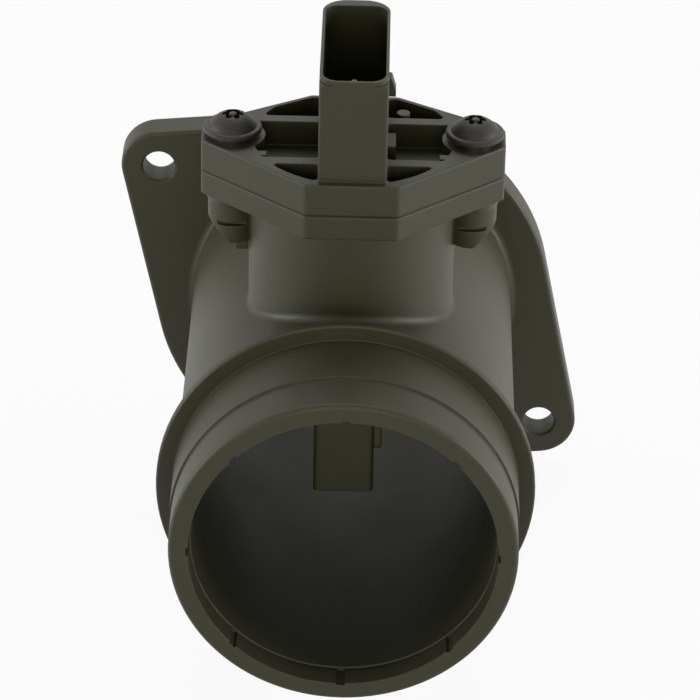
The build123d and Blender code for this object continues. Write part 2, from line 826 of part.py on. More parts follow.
with BuildPart() as circuit_board:
    board_base = chamber_bottom + carrier_overlap + board_margin
    board_top = shelf_base - base_plate_margin - board_margin
    with BuildSketch(side_plane(chamber_floor_x + base_plate_thickness)):
        with Locations(((base_plate_rear + plate_front) / 2, (board_top + board_base) / 2)):
            Rectangle(base_plate_rear - plate_front - 2 * board_margin, board_top - board_base)
    extrude(amount=board_thickness)

circuit_board.part.label = "circuit_board"
export_step(circuit_board.part, "parts/circuit_board.step")

with BuildPart() as element_carrier:
    with BuildSketch(level(chamber_bottom + carrier_overlap)):
        with Locations((carrier_x, 0)):
            Rectangle(carrier_thickness, carrier_width)
    extrude(amount=channel_top - carrier_reach - chamber_bottom - carrier_overlap)

element_carrier.part.label = "element_carrier"
export_step(element_carrier.part, "parts/element_carrier.step")

with BuildPart() as sensor_chip:
    chip_base = channel_top - carrier_reach + chip_margin
    with BuildSketch(side_plane(carrier_x + carrier_thickness / 2)):
        with Locations((0, chip_base + chip_height / 2)):
            Rectangle(chip_width, chip_height)
    extrude(amount=chip_thickness)

sensor_chip.part.label = "sensor_chip"
export_step(sensor_chip.part, "parts/sensor_chip.step")

# ---------------------------------------------------------------- covers on the probe

with BuildPart() as electronics_cover:
    with BuildSketch(side_plane(probe_right)):
        with Locations((0, (cover_top + cover_bottom) / 2)):
            RectangleRounded(probe_length - probe_edge_round, cover_top - cover_bottom, probe_edge_round)
    extrude(amount=cover_thickness)
    fillet(electronics_cover.faces().sort_by(Axis.X)[-1].edges(), cover_edge_round)
    # rim that drops into the chamber
    with BuildSketch(side_plane(probe_right)):
        with Locations((0, (chamber_top + chamber_bottom) / 2)):
            RectangleRounded(
                chamber_length - 2 * cover_clearance,
                chamber_top - chamber_bottom - 2 * cover_clearance,
                probe_edge_round,
            )
            Rectangle(
                chamber_length - 2 * cover_clearance - 2 * cover_rim_width,
                chamber_top - chamber_bottom - 2 * cover_clearance - 2 * cover_rim_width,
                mode=Mode.SUBTRACT,
            )
    extrude(amount=-cover_rim_height)

electronics_cover.part.label = "electronics_cover"
export_step(electronics_cover.part, "parts/electronics_cover.step")

with BuildPart() as bypass_cover:
    with BuildSketch(side_plane(bypass_cover_x)):
        with Locations((0, (cover_bottom - channel_bottom - cover_overlap) / 2)):
            RectangleRounded(
                chamber_length + 2 * cover_overlap - 2 * cover_clearance,
                cover_bottom + channel_bottom + cover_overlap - 2 * cover_clearance,
                probe_edge_round / 2,
            )
    extrude(amount=bypass_cover_thickness)

bypass_cover.part.label = "bypass_cover"
export_step(bypass_cover.part, "parts/bypass_cover.step")

# ---------------------------------------------------------------- air temperature sensor

with BuildPart() as air_temperature_sensor:
    bead_x = -probe_left + temp_pocket_depth - temp_bead_dia / 2
    with BuildSketch(Plane(origin=(bead_x, neck_y + temp_pocket_offset, temp_bead_z))):
        Circle(temp_bead_dia / 2)
    extrude(amount=temp_bead_length / 2, both=True)
    fillet(air_temperature_sensor.edges().filter_by(GeomType.CIRCLE), temp_bead_round)
    for lead_side in (-1, 1):
        lead_y = neck_y + temp_pocket_offset + lead_side * temp_lead_gap / 2
        with BuildLine():
            lead_path = FilletPolyline(
                (bead_x, lead_y, temp_bead_z),
                (bead_x, lead_y, temp_lead_z),
                (chamber_floor_x + temp_lead_tail, lead_y, temp_lead_z),
                radius=temp_lead_dia,
            )
        with BuildSketch(Plane(origin=(bead_x, lead_y, temp_bead_z))):
            Circle(temp_lead_dia / 2)
        sweep(path=lead_path)

air_temperature_sensor.part.label = "air_temperature_sensor"
export_step(air_temperature_sensor.part, "parts/air_temperature_sensor.step")

# ---------------------------------------------------------------- inlet screen, its ring and the seal

with BuildPart() as inlet_screen:
    screen_radius = screen_seat_dia / 2 - screen_clearance
    bar_count = int(2 * screen_radius / screen_pitch)
    with BuildSketch(Plane.XZ.offset(screen_seat_depth)):
        with GridLocations(screen_pitch, 0, bar_count, 1):
            Rectangle(screen_bar, 2 * screen_radius)
        with GridLocations(0, screen_pitch, 1, bar_count):
            Rectangle(2 * screen_radius, screen_bar)
        Circle(screen_radius, mode=Mode.INTERSECT)
        Circle(screen_radius)
        Circle(screen_radius - screen_frame_width, mode=Mode.SUBTRACT)
        with GridLocations(screen_pitch, 0, bar_count, 1):
            Rectangle(screen_bar, 2 * (screen_radius - screen_frame_width))
        with GridLocations(0, screen_pitch, 1, bar_count):
            Rectangle(2 * (screen_radius - screen_frame_width), screen_bar)
        Circle(screen_radius, mode=Mode.INTERSECT)
    extrude(amount=-screen_frame_thickness)

inlet_screen.part.label = "inlet_screen"
export_step(inlet_screen.part, "parts/inlet_screen.step")

with BuildPart() as screen_ring:
    with BuildSketch(Plane.YZ):
        with Locations((ring_front + ring_thickness / 2, ring_radius - ring_width / 2)):
            Rectangle(ring_thickness, ring_width)
    revolve(axis=Axis.Y, revolution_arc=360 - ring_gap_angle)

screen_ring.part.label = "screen_ring"
export_step(screen_ring.part, "parts/screen_ring.step")

with BuildPart() as flange_seal:
    with BuildSketch(Plane.YZ) as seal_section:
        with Locations(((seal_proud - seal_groove_depth) / 2, seal_mean_dia / 2)):
            Rectangle(seal_proud + seal_groove_depth, seal_width)
        chamfer([corner for corner in seal_section.vertices() if corner.X > 0], seal_crown_chamfer)
    revolve(axis=Axis.Y)

flange_seal.part.label = "flange_seal"
export_step(flange_seal.part, "parts/flange_seal.step")
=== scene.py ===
"""Studio scene of a mass airflow sensor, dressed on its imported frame."""

import logging
import math
from dataclasses import dataclass
from enum import Enum
from typing import Any

import bmesh
import bpy
import numpy as np
from mathutils import Matrix, Vector


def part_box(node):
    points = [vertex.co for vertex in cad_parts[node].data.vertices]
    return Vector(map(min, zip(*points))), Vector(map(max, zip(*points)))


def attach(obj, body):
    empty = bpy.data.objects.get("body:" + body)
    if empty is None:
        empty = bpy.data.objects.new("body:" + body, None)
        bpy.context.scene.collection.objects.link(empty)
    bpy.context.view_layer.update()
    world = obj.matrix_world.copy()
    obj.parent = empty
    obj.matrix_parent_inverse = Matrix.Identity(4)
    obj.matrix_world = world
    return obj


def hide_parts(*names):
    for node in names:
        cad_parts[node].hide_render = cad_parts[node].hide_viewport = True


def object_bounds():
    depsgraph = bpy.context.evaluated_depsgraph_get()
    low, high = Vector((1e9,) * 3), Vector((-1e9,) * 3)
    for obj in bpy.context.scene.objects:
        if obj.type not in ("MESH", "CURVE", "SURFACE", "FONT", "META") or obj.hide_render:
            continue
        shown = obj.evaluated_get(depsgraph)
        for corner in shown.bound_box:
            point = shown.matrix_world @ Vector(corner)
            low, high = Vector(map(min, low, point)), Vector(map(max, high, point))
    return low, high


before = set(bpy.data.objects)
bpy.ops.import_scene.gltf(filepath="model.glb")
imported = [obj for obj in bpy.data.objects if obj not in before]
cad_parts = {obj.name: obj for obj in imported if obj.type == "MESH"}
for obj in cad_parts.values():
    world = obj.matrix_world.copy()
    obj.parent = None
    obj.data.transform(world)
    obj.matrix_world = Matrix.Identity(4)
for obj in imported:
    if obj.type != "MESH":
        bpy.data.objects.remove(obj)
cad_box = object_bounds()

log = logging.getLogger("airflow_sensor")
MM = 0.001
SHARP_ANGLE = math.radians(32)
BEVEL_SAMPLES = 6
# a noise texture's values lie mostly between these two
NOISE_LOW = 0.3
NOISE_HIGH = 0.7
# a wave texture runs through this angle in one unit of its scale
WAVE_RADIANS = 20.0

Link = tuple[bpy.types.Node, str]
Row = tuple[float | np.ndarray, float | np.ndarray]


def linear(code: str) -> tuple[float, float, float, float]:
    """Turn an sRGB hex value into linear red, green, blue and alpha.

    Formula: the sRGB curve. A dark channel is divided by 12.92, and any other is moved by 0.055,
    scaled back to 1 and raised to the power of 2.4.

    Args:
        code: Six hex digits, with or without a leading hash.

    Returns:
        The linear colour with an alpha of 1.
    """
    parts = [int(code.lstrip("#")[i : i + 2], 16) / 255 for i in (0, 2, 4)]
    red, green, blue = (c / 12.92 if c <= 0.04045 else ((c + 0.055) / 1.055) ** 2.4 for c in parts)
    return red, green, blue, 1.0


def add_node(
    tree: bpy.types.NodeTree,
    kind: str,
    settings: dict[str, Any] | None = None,
    values: dict[str | int, Any] | None = None,
    links: dict[str | int, Link] | None = None,
) -> bpy.types.Node:
    """Add one shader node with its settings, socket values and links.

    Args:
        tree: The node tree that gets the node.
        kind: The node's type name without its ShaderNode prefix.
        settings: Properties of the node itself.
        values: Input sockets and the constants they hold.
        links: Input sockets and the (node, output name) that feeds each.

    Returns:
        The new node.
    """
    node = tree.nodes.new("ShaderNode" + kind)
    for name, value in (settings or {}).items():
        setattr(node, name, value)
    for socket, value in (values or {}).items():
        node.inputs[socket].default_value = value
    for socket, (source, output) in (links or {}).items():
        tree.links.new(source.outputs[output], node.inputs[socket])
    return node


def blank_material(name: str) -> tuple[bpy.types.Material, bpy.types.NodeTree, bpy.types.Node]:
    """Make an empty node material with an output node.

    Args:
        name: The material's name.

    Returns:
        The material, its node tree and its output node.
    """
    material = bpy.data.materials.new(name)
    material.use_nodes = True
    tree = material.node_tree
    tree.nodes.clear()
    return material, tree, add_node(tree, "OutputMaterial")


def skin(name: str, rings: np.ndarray, looped: bool) -> bpy.types.Object:
    """Cover a stack of rings with faces and return it as an object at the origin.

    Formula: the point in row i and column j is joined to its neighbours (i, j + 1), (i + 1, j) and
    (i + 1, j + 1), and the last column joins the first. Rows go down the outside and columns
    anticlockwise seen from above, so that the faces point outwards. A looped stack joins its last
    row to its first, and any other is closed by a flat face over its first and its last row.

    Args:
        name: The object's name.
        rings: Points in metres, shaped (rows, columns, 3).
        looped: True where the last row runs on into the first.

    Returns:
        The new object, linked to the scene.
    """
    rows, columns = rings.shape[:2]
    index = np.arange(rows * columns).reshape(rows, columns)
    here = index if looped else index[:-1]
    below = np.roll(index, -1, axis=0) if looped else index[1:]
    quads = np.stack([here, below, np.roll(below, -1, axis=1), np.roll(here, -1, axis=1)], axis=-1)
    faces = quads.reshape(-1, 4).tolist()
    if not looped:
        faces += [index[0].tolist(), index[-1][::-1].tolist()]
    mesh = bpy.data.meshes.new(name)
    mesh.from_pydata(rings.reshape(-1, 3), [], faces)
    mesh.validate()
    mesh.shade_smooth()
    mesh.set_sharp_from_angle(angle=SHARP_ANGLE)
    piece = bpy.data.objects.new(name, mesh)
    bpy.context.scene.collection.objects.link(piece)
    return piece


def stand_in(piece: bpy.types.Object, node: str, material: bpy.types.Material) -> None:
    """Let a new piece take the place of a CAD node and give it its finish.

    Args:
        piece: The new piece, in place in the row frame.
        node: The CAD node that it replaces.
        material: The finish.
    """
    piece.data.materials.clear()
    piece.data.materials.append(material)
    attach(piece, "root")
    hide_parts(node)
    log.info("%s replaces %s in %s", piece.name, node, material.name)


def dress(node: str, material: bpy.types.Material) -> None:
    """Give a CAD node its finish in every material slot.

    Args:
        node: The CAD node's name.
        material: The finish.
    """
    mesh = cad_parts[node].data
    mesh.materials.clear()
    mesh.materials.append(material)
    log.info("dressed %s in %s", node, material.name)


# ------------------------------------------------------------------ finishes


@dataclass(frozen=True)
class MouldedPlastic:
    """Glass-filled engineering plastic, injection moulded in a spark-eroded tool.

    The eye sees a near-black skin with a fine even grain, a soft satin reflection, faint
    flow clouding a few centimetres across, and edges rubbed a little paler.
    """

    name: str
    colour: str = "#313122"
    cloud_colour: str = "#383829"
    edge_colour: str = "#505045"
    ior: float = 1.55
    roughness: float = 0.50
    polish: float = 0.04
    dulling: float = 0.05
    gloss_level: float = 0.26
    grain_mm: float = 0.45
    grain_depth_mm: float = 0.030
    grain_strength: float = 0.55
    cloud_mm: float = 22.0
    edge_mm: float = 0.45
    edge_starts: float = 0.985
    edge_full: float = 0.80
    edge_wear: float = 0.4

    def build(self) -> bpy.types.Material:
        """Build the node material.

        Returns:
            The finished material.
        """
        material, tree, output = blank_material(self.name)
        place = add_node(tree, "TexCoord")
        cloud = add_node(
            tree,
            "TexNoise",
            values={"Scale": 1 / (self.cloud_mm * MM), "Detail": 4.0, "Roughness": 0.55},
            links={"Vector": (place, "Object")},
        )
        # spark-eroded grain is finer on the real skin and is drawn coarser so that it can be seen
        grain = add_node(
            tree,
            "TexNoise",
            values={"Scale": 1 / (self.grain_mm * MM), "Detail": 2.0, "Roughness": 0.6},
            links={"Vector": (place, "Object")},
        )
        body = add_node(
            tree,
            "Mix",
            {"data_type": "RGBA"},
            {"A": linear(self.colour), "B": linear(self.cloud_colour)},
            {"Factor": (cloud, "Fac")},
        )
        # an edge is where the rounded normal leaves the true one
        rounded = add_node(tree, "Bevel", {"samples": BEVEL_SAMPLES}, {"Radius": self.edge_mm * MM})
        true = add_node(tree, "NewGeometry")
        agree = add_node(
            tree,
            "VectorMath",
            {"operation": "DOT_PRODUCT"},
            links={0: (rounded, "Normal"), 1: (true, "Normal")},
        )
        edge = add_node(
            tree,
            "MapRange",
            {"interpolation_type": "SMOOTHSTEP"},
            {
                "From Min": self.edge_starts,
                "From Max": self.edge_full,
                "To Min": 0.0,
                "To Max": self.edge_wear,
            },
            {"Value": (agree, "Value")},
        )
        worn = add_node(
            tree,
            "Mix",
            {"data_type": "RGBA"},
            {"B": linear(self.edge_colour)},
            {"Factor": (edge, "Result"), "A": (body, "Result")},
        )
        gloss = add_node(
            tree,
            "MapRange",
            values={
                "From Min": NOISE_LOW,
                "From Max": NOISE_HIGH,
                "To Min": self.roughness - self.polish,
                "To Max": self.roughness + self.dulling,
            },
            links={"Value": (cloud, "Fac")},
        )
        relief = add_node(
            tree,
            "Bump",
            values={"Strength": self.grain_strength, "Distance": self.grain_depth_mm * MM},
            links={"Height": (grain, "Fac"), "Normal": (rounded, "Normal")},
        )
        shader = add_node(
            tree,
            "BsdfPrincipled",
            values={"IOR": self.ior, "Specular IOR Level": self.gloss_level, "Metallic": 0.0},
            links={
                "Base Color": (worn, "Result"),
                "Roughness": (gloss, "Result"),
                "Normal": (relief, "Normal"),
            },
        )
        tree.links.new(shader.outputs["BSDF"], output.inputs["Surface"])
        return material


@dataclass(frozen=True)
class MouldedRubber:
    """Fluorosilicone rubber, compression moulded.

    The eye sees a dull black with a faint dusty bloom in patches and hardly any reflection.
    """

    name: str
    colour: str = "#1d1d1e"
    bloom_colour: str = "#2e2e2d"
    ior: float = 1.42
    roughness: float = 0.78
    bloom_mm: float = 6.0
    bloom_starts: float = 0.45
    bloom_full: float = 0.75
    pebble_mm: float = 0.6
    pebble_depth_mm: float = 0.02
    pebble_strength: float = 0.4

    def build(self) -> bpy.types.Material:
        """Build the node material.

        Returns:
            The finished material.
        """
        material, tree, output = blank_material(self.name)
        place = add_node(tree, "TexCoord")
        bloom = add_node(
            tree,
            "TexNoise",
            values={"Scale": 1 / (self.bloom_mm * MM), "Detail": 5.0, "Roughness": 0.65},
            links={"Vector": (place, "Object")},
        )
        patch = add_node(
            tree,
            "MapRange",
            values={"From Min": self.bloom_starts, "From Max": self.bloom_full},
            links={"Value": (bloom, "Fac")},
        )
        skin_colour = add_node(
            tree,
            "Mix",
            {"data_type": "RGBA"},
            {"A": linear(self.colour), "B": linear(self.bloom_colour)},
            {"Factor": (patch, "Result")},
        )
        pebble = add_node(
            tree,
            "TexNoise",
            values={"Scale": 1 / (self.pebble_mm * MM), "Detail": 1.0},
            links={"Vector": (place, "Object")},
        )
        relief = add_node(
            tree,
            "Bump",
            values={"Strength": self.pebble_strength, "Distance": self.pebble_depth_mm * MM},
            links={"Height": (pebble, "Fac")},
        )
        shader = add_node(
            tree,
            "BsdfPrincipled",
            values={"IOR": self.ior, "Roughness": self.roughness},
            links={"Base Color": (skin_colour, "Result"), "Normal": (relief, "Normal")},
        )
        tree.links.new(shader.outputs["BSDF"], output.inputs["Surface"])
        return material


class Grain(Enum):
    """The way that a tool's lines run on metal, as how far they are drawn out along X, Y and Z."""

    ALONG_X = (14.0, 1.0, 1.0)
    ALONG_Y = (1.0, 14.0, 1.0)
    ALONG_Z = (1.0, 1.0, 14.0)
    ROUND_Z = (8.0, 8.0, 1.0)


@dataclass(frozen=True)
class ToolMarkedMetal:
    """Bare or plated metal that was drawn, turned, rolled or stamped.

    The eye sees a clear metallic reflection broken by fine lines from the tool, and a faint
    change of tone along them.
    """

    name: str
    colour: str
    tint: str
    roughness: float
    grain: Grain
    line_mm: float = 0.22
    line_depth_mm: float = 0.01
    line_strength: float = 0.3
    polish: float = 0.06
    dulling: float = 0.08

    def build(self) -> bpy.types.Material:
        """Build the node material.

        Returns:
            The finished material.
        """
        material, tree, output = blank_material(self.name)
        place = add_node(tree, "TexCoord")
        # the tool's lines are finer on the real metal and are drawn coarser so that they can be seen
        scale = tuple(1 / (self.line_mm * MM * stretch) for stretch in self.grain.value)
        spread = add_node(tree, "Mapping", values={"Scale": scale}, links={"Vector": (place, "Object")})
        lines = add_node(
            tree,
            "TexNoise",
            values={"Scale": 1.0, "Detail": 3.0, "Roughness": 0.5},
            links={"Vector": (spread, "Vector")},
        )
        tone = add_node(
            tree,
            "Mix",
            {"data_type": "RGBA"},
            {"A": linear(self.colour), "B": linear(self.tint)},
            {"Factor": (lines, "Fac")},
        )
        gloss = add_node(
            tree,
            "MapRange",
            values={
                "From Min": NOISE_LOW,
                "From Max": NOISE_HIGH,
                "To Min": self.roughness - self.polish,
                "To Max": self.roughness + self.dulling,
            },
            links={"Value": (lines, "Fac")},
        )
        relief = add_node(
            tree,
            "Bump",
            values={"Strength": self.line_strength, "Distance": self.line_depth_mm * MM},
            links={"Height": (lines, "Fac")},
        )
        shader = add_node(
            tree,
            "BsdfPrincipled",
            values={"Metallic": 1.0},
            links={
                "Base Color": (tone, "Result"),
                "Roughness": (gloss, "Result"),
                "Normal": (relief, "Normal"),
            },
        )
        tree.links.new(shader.outputs["BSDF"], output.inputs["Surface"])
        return material


@dataclass(frozen=True)
class CoatedSteel:
    """Cold-headed steel with a black zinc-flake dip coating.

    The eye sees a dull black with a fine sandy grain, and tiny paler specks where the flakes
    lie flat.
    """

    name: str
    colour: str = "#2b2a25"
    flake_colour: str = "#52504a"
    ior: float = 1.6
    roughness: float = 0.48
    gloss_level: float = 0.24
    flake_mm: float = 0.35
    flake_depth_mm: float = 0.02
    flake_strength: float = 0.35
    speck_core: float = 0.10
    speck_rim: float = 0.45
    speck_cover: float = 0.45
    edge_mm: float = 0.15

    def build(self) -> bpy.types.Material:
        """Build the node material.

        Returns:
            The finished material.
        """
        material, tree, output = blank_material(self.name)
        place = add_node(tree, "TexCoord")
        flake = add_node(
            tree,
            "TexVoronoi",
            values={"Scale": 1 / (self.flake_mm * MM), "Randomness": 1.0},
            links={"Vector": (place, "Object")},
        )
        speck = add_node(
            tree,
            "MapRange",
            values={
                "From Min": self.speck_core,
                "From Max": self.speck_rim,
                "To Min": self.speck_cover,
                "To Max": 0.0,
            },
            links={"Value": (flake, "Distance")},
        )
        coat = add_node(
            tree,
            "Mix",
            {"data_type": "RGBA"},
            {"A": linear(self.colour), "B": linear(self.flake_colour)},
            {"Factor": (speck, "Result")},
        )
        rounded = add_node(tree, "Bevel", {"samples": BEVEL_SAMPLES}, {"Radius": self.edge_mm * MM})
        relief = add_node(
            tree,
            "Bump",
            values={"Strength": self.flake_strength, "Distance": self.flake_depth_mm * MM},
            links={"Height": (flake, "Distance"), "Normal": (rounded, "Normal")},
        )
        shader = add_node(
            tree,
            "BsdfPrincipled",
            values={
                "Metallic": 0.0,
                "IOR": self.ior,
                "Specular IOR Level": self.gloss_level,
                "Roughness": self.roughness,
            },
            links={"Base Color": (coat, "Result"), "Normal": (relief, "Normal")},
        )
        tree.links.new(shader.outputs["BSDF"], output.inputs["Surface"])
        return material


@dataclass(frozen=True)
class GlazedCeramic:
    """Fired alumina board with a printed and glazed thick-film circuit.

    The eye sees an ivory plate under a thin clear glaze, crossed by straight grey-green tracks
    between pads. The tracks' width and the pads' sizes are shares of the pitch.
    """

    name: str
    colour: str = "#e6e2d4"
    shade_colour: str = "#dcd8c8"
    track_colour: str = "#7d8a7a"
    pitch_mm: float = 1.6
    track_width: float = 0.09
    pad_length: float = 2.2
    pad_height: float = 0.8
    ior: float = 1.6
    roughness: float = 0.28
    glaze: float = 0.6
    glaze_roughness: float = 0.08

    def build(self) -> bpy.types.Material:
        """Build the node material.

        Returns:
            The finished material.
        """
        material, tree, output = blank_material(self.name)
        place = add_node(tree, "TexCoord")
        flat = add_node(
            tree,
            "Mapping",
            values={"Rotation": (0.0, math.pi / 2, 0.0)},
            links={"Vector": (place, "Object")},
        )
        tracks = add_node(
            tree,
            "TexBrick",
            {"offset": 0.5, "squash": 0.6, "squash_frequency": 3},
            {
                "Color1": linear(self.colour),
                "Color2": linear(self.shade_colour),
                "Mortar": linear(self.track_colour),
                "Scale": 1 / (self.pitch_mm * MM),
                "Mortar Size": self.track_width,
                "Brick Width": self.pad_length,
                "Row Height": self.pad_height,
            },
            {"Vector": (flat, "Vector")},
        )
        shader = add_node(
            tree,
            "BsdfPrincipled",
            values={
                "IOR": self.ior,
                "Roughness": self.roughness,
                "Coat Weight": self.glaze,
                "Coat Roughness": self.glaze_roughness,
            },
            links={"Base Color": (tracks, "Color")},
        )
        tree.links.new(shader.outputs["BSDF"], output.inputs["Surface"])
        return material


@dataclass(frozen=True)
class EtchedSilicon:
    """Polished silicon chip with an etched heater film.

    The eye sees a dark blue-violet mirror with fine gold lines across it.
    """

    name: str
    colour: str = "#2c2c3d"
    film_colour: str = "#8a6f3c"
    metallic: float = 0.6
    roughness: float = 0.12
    line_pitch_mm: float = 0.987
    line_starts: float = 0.70
    line_full: float = 0.85

    def build(self) -> bpy.types.Material:
        """Build the node material.

        Returns:
            The finished material.
        """
        material, tree, output = blank_material(self.name)
        place = add_node(tree, "TexCoord")
        lines = add_node(
            tree,
            "TexWave",
            {"wave_type": "BANDS", "bands_direction": "Z"},
            {"Scale": 2 * math.pi / (WAVE_RADIANS * self.line_pitch_mm * MM), "Distortion": 0.0},
            {"Vector": (place, "Object")},
        )
        film = add_node(
            tree,
            "MapRange",
            values={"From Min": self.line_starts, "From Max": self.line_full},
            links={"Value": (lines, "Fac")},
        )
        face = add_node(
            tree,
            "Mix",
            {"data_type": "RGBA"},
            {"A": linear(self.colour), "B": linear(self.film_colour)},
            {"Factor": (film, "Result")},
        )
        shader = add_node(
            tree,
            "BsdfPrincipled",
            values={"Metallic": self.metallic, "Roughness": self.roughness},
            links={"Base Color": (face, "Result")},
        )
        tree.links.new(shader.outputs["BSDF"], output.inputs["Surface"])
        return material


@dataclass(frozen=True)
class DippedResin:
    """Thermistor bead dipped in epoxy, which also wets its leads.

    The eye sees a small glossy brown-black drop with a slightly wavy skin.
    """

    name: str
    colour: str = "#2a211b"
    pool_colour: str = "#4a3526"
    ior: float = 1.56
    roughness: float = 0.16
    wave_mm: float = 1.2
    wave_depth_mm: float = 0.08
    wave_strength: float = 0.5

    def build(self) -> bpy.types.Material:
        """Build the node material.

        Returns:
            The finished material.
        """
        material, tree, output = blank_material(self.name)
        place = add_node(tree, "TexCoord")
        wave = add_node(
            tree,
            "TexNoise",
            values={"Scale": 1 / (self.wave_mm * MM), "Detail": 1.0},
            links={"Vector": (place, "Object")},
        )
        pool = add_node(
            tree,
            "Mix",
            {"data_type": "RGBA"},
            {"A": linear(self.colour), "B": linear(self.pool_colour)},
            {"Factor": (wave, "Fac")},
        )
        relief = add_node(
            tree,
            "Bump",
            values={"Strength": self.wave_strength, "Distance": self.wave_depth_mm * MM},
            links={"Height": (wave, "Fac")},
        )
        shader = add_node(
            tree,
            "BsdfPrincipled",
            values={"IOR": self.ior, "Roughness": self.roughness},
            links={"Base Color": (pool, "Result"), "Normal": (relief, "Normal")},
        )
        tree.links.new(shader.outputs["BSDF"], output.inputs["Surface"])
        return material


# ------------------------------------------------------------------ studio


class LampPlace(Enum):
    """The soft boxes round the table, named for where they stand."""

    LEFT = "left"
    RIGHT = "right"
    FRONT = "front"
    BEHIND = "behind"


@dataclass(frozen=True)
class SoftBox:
    """One square area lamp aimed at the object, in metres and watts."""

    place: LampPlace
    stand: tuple[float, float, float]
    width: float
    power: float
    tint: str
    aim: tuple[float, float, float] = (0.0, -0.055, 0.02)

    def build(self) -> bpy.types.Object:
        """Make the lamp and turn it towards its aim.

        Returns:
            The lamp object.
        """
        lamp = bpy.data.lights.new("soft_box_" + self.place.value, "AREA")
        lamp.shape = "SQUARE"
        lamp.size = self.width
        lamp.energy = self.power
        lamp.color = linear(self.tint)[:3]
        stand = bpy.data.objects.new(lamp.name, lamp)
        stand.location = self.stand
        towards = Vector(self.aim) - Vector(self.stand)
        stand.rotation_euler = towards.to_track_quat("-Z", "Y").to_euler()
        bpy.context.scene.collection.objects.link(stand)
        return stand


@dataclass
class Studio:
    """White table and surround, soft boxes and the camera, in metres and degrees."""

    table_gap: float = 0.0002
    table_size: float = 12.0
    table_glow: float = 0.92
    focal_px: float = 4000.0
    frame_px: float = 700.0
    sensor_mm: float = 36.0
    nearest: float = 0.05
    farthest: float = 50.0
    azimuth: float = 0.3936
    elevation: float = 30.4998
    roll: float = 1.20
    eye: tuple[float, float, float] = (0.0050826, -0.7765275, 0.4396457)
    paper_colour: str = "#f4f4f4"
    white: str = "#ffffff"
    room_colour: str = "#fffff0"
    room_strength: float = 0.04
    boxes: tuple[SoftBox, ...] = (
        SoftBox(LampPlace.LEFT, (-1.0, -0.10, 0.12), 0.6, 10.3, "#f7f7ff"),
        SoftBox(LampPlace.RIGHT, (1.0, -0.10, 0.12), 0.6, 12.8, "#f7f7ff"),
        SoftBox(LampPlace.FRONT, (0.0, -1.25, 0.20), 0.8, 5.9, "#fffedc"),
        SoftBox(LampPlace.BEHIND, (0.0, 0.65, 1.10), 0.7, 6.4, "#fafcff"),
    )

    def seen_rays(self, tree: bpy.types.NodeTree) -> bpy.types.Node:
        """Node that gives 1 for camera, glossy and transmission rays and 0 for any other.

        Args:
            tree: The node tree that gets the nodes.

        Returns:
            The node, with its answer in the output Value.
        """
        rays = add_node(tree, "LightPath")
        direct = add_node(
            tree,
            "Math",
            {"operation": "MAXIMUM"},
            links={0: (rays, "Is Camera Ray"), 1: (rays, "Is Transmission Ray")},
        )
        return add_node(
            tree,
            "Math",
            {"operation": "MAXIMUM"},
            links={0: (direct, "Value"), 1: (rays, "Is Glossy Ray")},
        )

    def surround(self) -> None:
        """World: the camera and the reflections see white, and a dim room lights the object."""
        world = bpy.data.worlds.new("white_surround")
        bpy.context.scene.world = world
        world.use_nodes = True
        tree = world.node_tree
        tree.nodes.clear()
        room = add_node(
            tree,
            "Background",
            values={"Color": linear(self.room_colour), "Strength": self.room_strength},
        )
        white = add_node(tree, "Background", values={"Color": linear(self.white), "Strength": 1.0})
        either = add_node(
            tree,
            "MixShader",
            links={
                0: (self.seen_rays(tree), "Value"),
                1: (room, "Background"),
                2: (white, "Background"),
            },
        )
        add_node(tree, "OutputWorld", links={"Surface": (either, "Shader")})

    def table(self) -> bpy.types.Object:
        """White table under the object that keeps the object's soft shadow.

        Returns:
            The table top.
        """
        half = self.table_size / 2
        top = cad_box[0].z - self.table_gap
        mesh = bpy.data.meshes.new("table_top")
        corners = [(-half, -half, top), (half, -half, top), (half, half, top), (-half, half, top)]
        mesh.from_pydata(corners, [], [(0, 1, 2, 3)])
        top_object = bpy.data.objects.new("table_top", mesh)
        bpy.context.scene.collection.objects.link(top_object)
        material, tree, output = blank_material("white_sweep_paper")
        matt = add_node(tree, "BsdfDiffuse", values={"Color": linear(self.paper_colour)})
        glow = add_node(tree, "Emission", values={"Color": linear(self.white), "Strength": 1.0})
        share = add_node(
            tree,
            "Math",
            {"operation": "MULTIPLY"},
            {1: self.table_glow},
            {0: (self.seen_rays(tree), "Value")},
        )
        either = add_node(
            tree,
            "MixShader",
            links={0: (share, "Value"), 1: (matt, "BSDF"), 2: (glow, "Emission")},
        )
        tree.links.new(either.outputs["Shader"], output.inputs["Surface"])
        mesh.materials.append(material)
        return top_object

    def camera(self) -> bpy.types.Object:
        """Camera at the viewing angle, given by its eye point, azimuth, elevation and roll.

        Formula: the back axis stands at the azimuth and elevation, the right axis lies level, and
        the up axis is their cross product. The roll then turns right and up about the back axis.

        Returns:
            The camera object.
        """
        lens = bpy.data.cameras.new("camera")
        lens.sensor_fit = "HORIZONTAL"
        lens.sensor_width = self.sensor_mm
        lens.lens = self.focal_px / self.frame_px * self.sensor_mm
        lens.clip_start = self.nearest
        lens.clip_end = self.farthest
        around, rise, lean = (math.radians(v) for v in (self.azimuth, self.elevation, self.roll))
        flat = math.cos(rise)
        back = Vector((math.sin(around) * flat, -math.cos(around) * flat, math.sin(rise)))
        right = Vector((math.cos(around), math.sin(around), 0.0))
        up = back.cross(right)
        leaned_right = math.cos(lean) * right + math.sin(lean) * up
        leaned_up = -math.sin(lean) * right + math.cos(lean) * up
        turn = Matrix((leaned_right, leaned_up, back)).transposed()
        camera = bpy.data.objects.new("camera", lens)
        camera.matrix_world = Matrix.Translation(self.eye) @ turn.to_4x4()
        bpy.context.scene.collection.objects.link(camera)
        bpy.context.scene.camera = camera
        return camera

